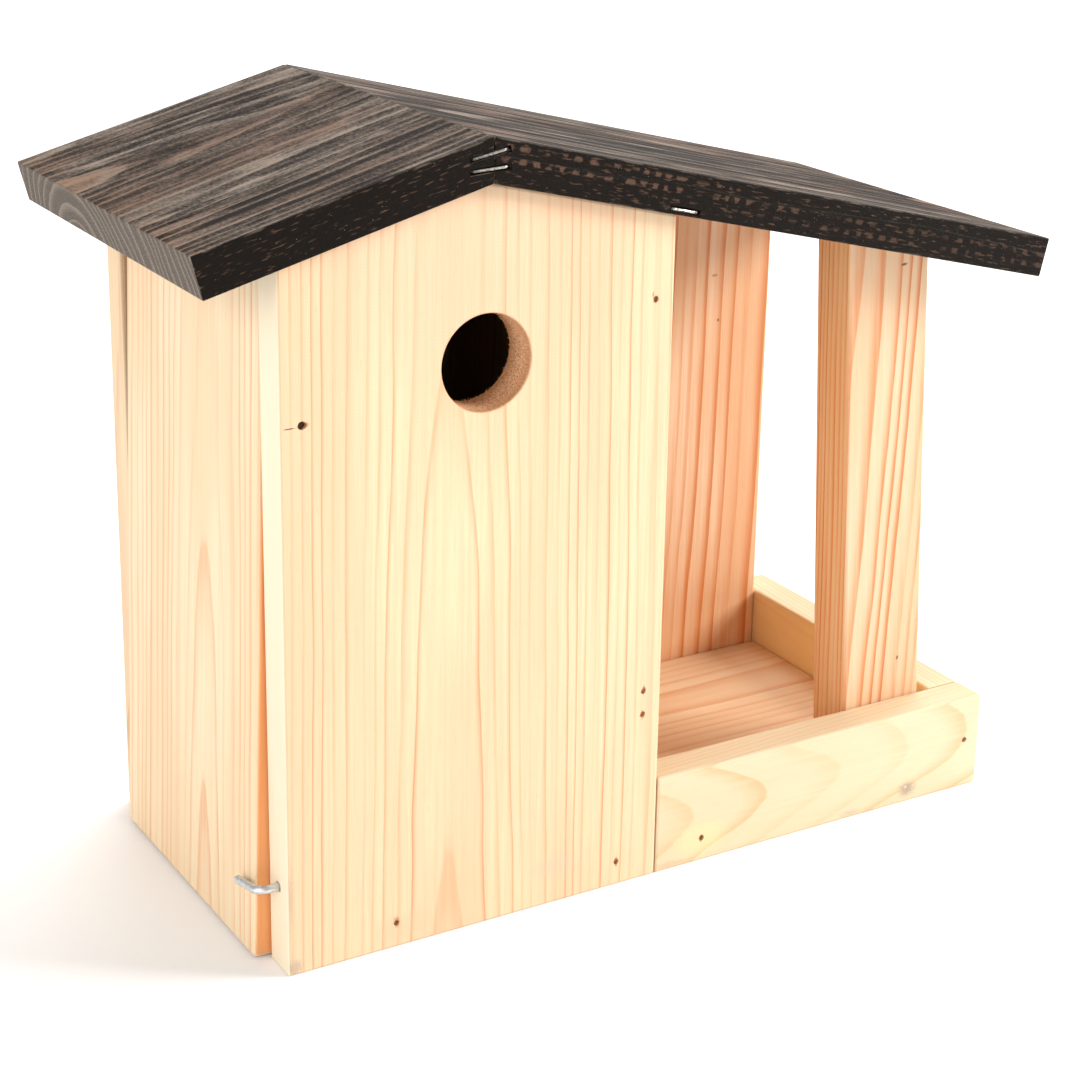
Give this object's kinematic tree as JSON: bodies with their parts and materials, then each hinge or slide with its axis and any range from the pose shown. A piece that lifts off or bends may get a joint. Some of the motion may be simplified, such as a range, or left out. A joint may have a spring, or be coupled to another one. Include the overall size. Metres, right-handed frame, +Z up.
{
  "type": "nest box with feeder",
  "caption": "Wooden nest box with a round entrance, a side panel that swings out for cleaning, held by a turning hook, and an open feeder bay beside it under one uneven stained gable roof.",
  "frame": {"origin": "middle of the underside of the overall box: half way between the two eaves and between the roof's front and back edges, on the surface the box stands on", "axes": "+X to the feeder (right as seen from the front), +Y from the front with the entrance to the back, +Z up"},
  "size_m": [0.348, 0.16, 0.2863],
  "materials": {
    "plank_wood": "planed, untreated pale softwood with fine upright orange grain",
    "door_wood": "planed, untreated softwood, slightly more orange, with arched grain",
    "feeder_wood": "planed, untreated softwood with upright grain",
    "base_wood": "planed, untreated softwood with grain along the length",
    "rail_wood": "planed, untreated softwood with grain along the rail",
    "post_wood": "sawn, untreated softwood with upright banded grain",
    "roof_stain": "dark brown stained softwood, matt, worn lighter along the raised grain",
    "zinc_wire": "bright zinc plated wire",
    "staple_wire": "bright galvanised staple wire",
    "nail_steel": "plain steel nail, dull",
    "brad_steel": "plain steel brad, dull, punched below the surface"
  },
  "bodies": {
    "box": {"front_panel": "plank_wood", "nest_back": "plank_wood", "feeder_back": "feeder_wood", "partition": "feeder_wood", "base_board": "base_wood", "front_rail": "rail_wood", "right_rail": "rail_wood", "corner_post": "post_wood", "roof_left": "roof_stain", "roof_right": "roof_stain", "door_pivot_nail_front": "nail_steel", "door_pivot_nail_back": "nail_steel", "base_brad_front_left": "brad_steel", "base_brad_front_right": "brad_steel", "partition_brad_front_lowest": "brad_steel", "partition_brad_front_low": "brad_steel", "partition_brad_front_high": "brad_steel", "rail_corner_brad": "brad_steel", "rail_base_brad_front": "brad_steel", "base_brad_back_left": "brad_steel", "base_brad_back_right": "brad_steel", "feeder_brad_back_left": "brad_steel", "feeder_brad_back_right": "brad_steel", "partition_brad_back_low": "brad_steel", "partition_brad_back_high": "brad_steel", "rail_base_brad_right": "brad_steel", "rail_back_brad": "brad_steel", "post_foot_brad": "brad_steel", "ridge_staple_front_upper": "staple_wire", "ridge_staple_front_lower": "staple_wire", "ridge_staple_back_upper": "staple_wire", "ridge_staple_back_lower": "staple_wire", "roof_edge_staple": "staple_wire"},
    "door": {"side_door": "door_wood"},
    "hook": {"latch_hook": "zinc_wire"}
  },
  "joints": [
    {"name": "door_swing", "type": "hinge", "parent": "box", "child": "door", "pos_m": [-0.1357, 0, 0.19787], "axis": [0, 1, 0], "range_deg": [0, 130]},
    {"name": "hook_turn", "type": "hinge", "parent": "box", "child": "hook", "pos_m": [-0.1437, -0.0675, 0.0315], "axis": [1, 0, 0], "range_deg": [-78, 102]}
  ]
}
